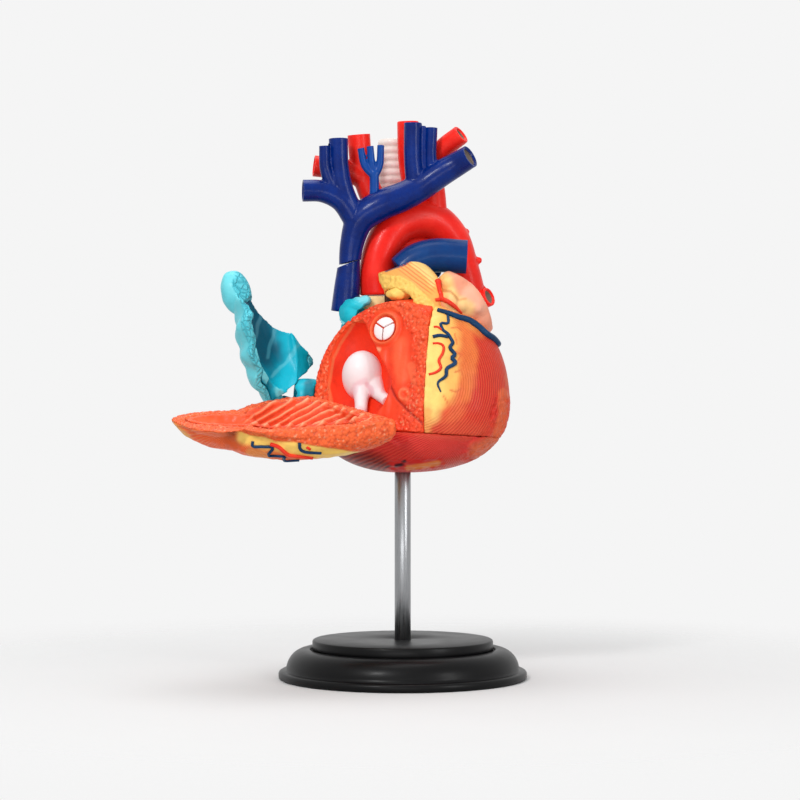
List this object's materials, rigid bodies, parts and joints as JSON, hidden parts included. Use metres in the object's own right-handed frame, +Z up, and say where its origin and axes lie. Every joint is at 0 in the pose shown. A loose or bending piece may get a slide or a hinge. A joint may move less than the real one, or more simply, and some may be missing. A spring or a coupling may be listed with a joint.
{
  "type": "heart anatomy model",
  "caption": "Take-apart heart model on a rod and round base, with the right ventricle and right atrium walls hinged open.",
  "frame": {"origin": "centre of the base's underside, on the floor under the rod", "axes": "+Z up along the rod, -Y towards the viewer of the open heart, +X to the viewer's right"},
  "size_m": [0.1281, 0.0949, 0.2091],
  "materials": {
    "black_plastic": "satin, fine moulded grain",
    "steel": "brushed round the rod",
    "muscle": "hand painted, satin, fine striations",
    "dark_muscle": "hand painted, satin, fine striations",
    "fat": "hand painted, satin, lumpy",
    "artery": "glossy",
    "vein": "glossy",
    "atrium": "satin",
    "auricle": "satin",
    "valve": "satin, faint pink shading",
    "cartilage": "satin"
  },
  "bodies": {
    "stand": {"base_shell": "black_plastic", "base_top_disc": "black_plastic", "support_rod": "steel"},
    "heart": {"lower_ventricle_shell": "dark_muscle", "left_ventricle_wall": "muscle", "ventricular_septum": "muscle", "right_ventricle_back": "muscle", "tricuspid_valve": "valve", "pulmonary_cusp_front": "valve", "pulmonary_cusp_right": "valve", "pulmonary_cusp_left": "valve", "conus_arteriosus": "fat", "aortic_root": "fat", "conus_fat_pad": "fat", "right_atrium": "atrium", "right_auricle": "atrium", "right_atrium_floor": "atrium", "inferior_vena_cava": "vein", "left_atrium": "atrium", "left_auricle": "auricle", "left_upper_pulmonary_vein": "artery", "left_lower_pulmonary_vein": "artery", "right_upper_pulmonary_vein": "artery", "right_lower_pulmonary_vein": "artery", "pulmonary_artery": "vein", "aortic_arch": "artery", "brachiocephalic_artery": "artery", "left_carotid_artery": "artery", "left_subclavian_artery": "artery", "superior_vena_cava": "vein", "great_veins": "vein", "thyroid_veins": "vein", "trachea": "cartilage", "ventricle_hinge_pin": "steel", "atrium_hinge_pin": "steel"},
    "front_wall": {"right_ventricle_wall": "fat", "right_ventricle_lining": "muscle"},
    "side_wall": {"right_atrium_wall": "atrium", "right_atrium_lining": "atrium"}
  },
  "joints": [
    {"name": "heart_swivel", "type": "hinge", "parent": "stand", "child": "heart", "pos_m": [0, 0, 0.07], "axis": [0, 0, 1], "continuous": true},
    {"name": "front_wall_hinge", "type": "hinge", "parent": "heart", "child": "front_wall", "pos_m": [-0.0177, -0.0163, 0.0956], "axis": [-0.627, 0.701, 0.3399], "range_deg": [0, 121]},
    {"name": "side_wall_hinge", "type": "hinge", "parent": "heart", "child": "side_wall", "pos_m": [-0.0454, 0.00835, 0.1003], "axis": [-0.3225, 0.7795, 0.537], "range_deg": [0, 52]}
  ]
}
